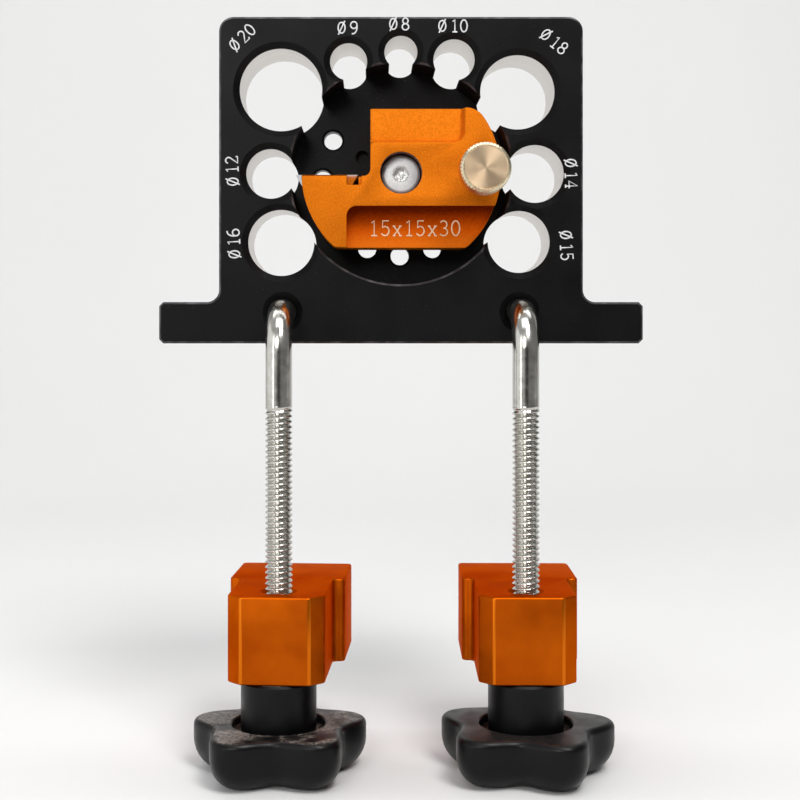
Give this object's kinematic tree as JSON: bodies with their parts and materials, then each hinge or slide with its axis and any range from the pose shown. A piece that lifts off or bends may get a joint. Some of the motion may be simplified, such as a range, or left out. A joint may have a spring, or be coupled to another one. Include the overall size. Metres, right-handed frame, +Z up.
{
  "type": "dowel making jig",
  "caption": "Bench jig that turns rough blanks into round dowels: a bored guide plate with a swivelling cutter carriage, held on a bench edge by hook bolts with clamp blocks and star knobs.",
  "frame": {"origin": "middle of the plate's bench face, halfway between its front and back", "axes": "+X to the right seen from the front, +Y from the front face to the back, +Z up from the bench"},
  "size_m": [0.117, 0.0582, 0.1779],
  "materials": {
    "black_anodised": "satin black anodised, bores bare",
    "orange_anodised": "satin orange anodised",
    "bright_steel": "bright zinc plated",
    "dark_steel": "black oxide",
    "carbide": "ground and lapped",
    "turned_brass": "turned",
    "black_plastic": "moulded, semi gloss"
  },
  "bodies": {
    "guide_plate": {"jig_plate": "black_anodised", "pivot_screw": "bright_steel", "wave_washer": "bright_steel"},
    "carriage": {"blade_carriage": "orange_anodised", "cutter_insert": "carbide", "cutter_screw": "dark_steel"},
    "thumbscrew": {"index_thumbscrew": "turned_brass"},
    "bolt_left": {"hook_bolt_left": "bright_steel"},
    "clamp_left": {"clamp_block_left": "orange_anodised"},
    "knob_left": {"star_knob_left": "black_plastic", "knob_insert_left": "turned_brass"},
    "bolt_right": {"hook_bolt_right": "bright_steel"},
    "clamp_right": {"clamp_block_right": "orange_anodised"},
    "knob_right": {"star_knob_right": "black_plastic", "knob_insert_right": "turned_brass"}
  },
  "joints": [
    {"name": "carriage_swivel", "type": "hinge", "parent": "guide_plate", "child": "carriage", "pos_m": [0, 0, 0.0411], "axis": [0, -1, 0], "range_deg": [-210, 30]},
    {"name": "thumbscrew_travel", "type": "slide", "parent": "carriage", "child": "thumbscrew", "axis": [0, 1, 0], "range_m": [0, 0.0048]},
    {"name": "bolt_swing_left", "type": "hinge", "parent": "guide_plate", "child": "bolt_left", "pos_m": [-0.0286, 0, 0.0076], "axis": [0, 1, 0], "range_deg": [-3, 90]},
    {"name": "clamp_travel_left", "type": "slide", "parent": "bolt_left", "child": "clamp_left", "axis": [0, 0, 1], "range_m": [-0.003, 0.0315]},
    {"name": "knob_turn_left", "type": "hinge", "parent": "clamp_left", "child": "knob_left", "pos_m": [-0.0286, -0.0247, -0.088], "axis": [0, 0, 1], "range_deg": [-860, 8940]},
    {"name": "bolt_swing_right", "type": "hinge", "parent": "guide_plate", "child": "bolt_right", "pos_m": [0.0286, 0, 0.0076], "axis": [0, -1, 0], "range_deg": [-3, 90]},
    {"name": "clamp_travel_right", "type": "slide", "parent": "bolt_right", "child": "clamp_right", "axis": [0, 0, 1], "range_m": [-0.003, 0.0315]},
    {"name": "knob_turn_right", "type": "hinge", "parent": "clamp_right", "child": "knob_right", "pos_m": [0.0286, -0.0247, -0.088], "axis": [0, 0, 1], "range_deg": [-860, 8940]}
  ],
  "couplings": [
    {"joint": "knob_turn_left", "follows": "clamp_travel_left", "rad_per_m": 4947.4},
    {"joint": "knob_turn_right", "follows": "clamp_travel_right", "rad_per_m": 4947.4}
  ]
}
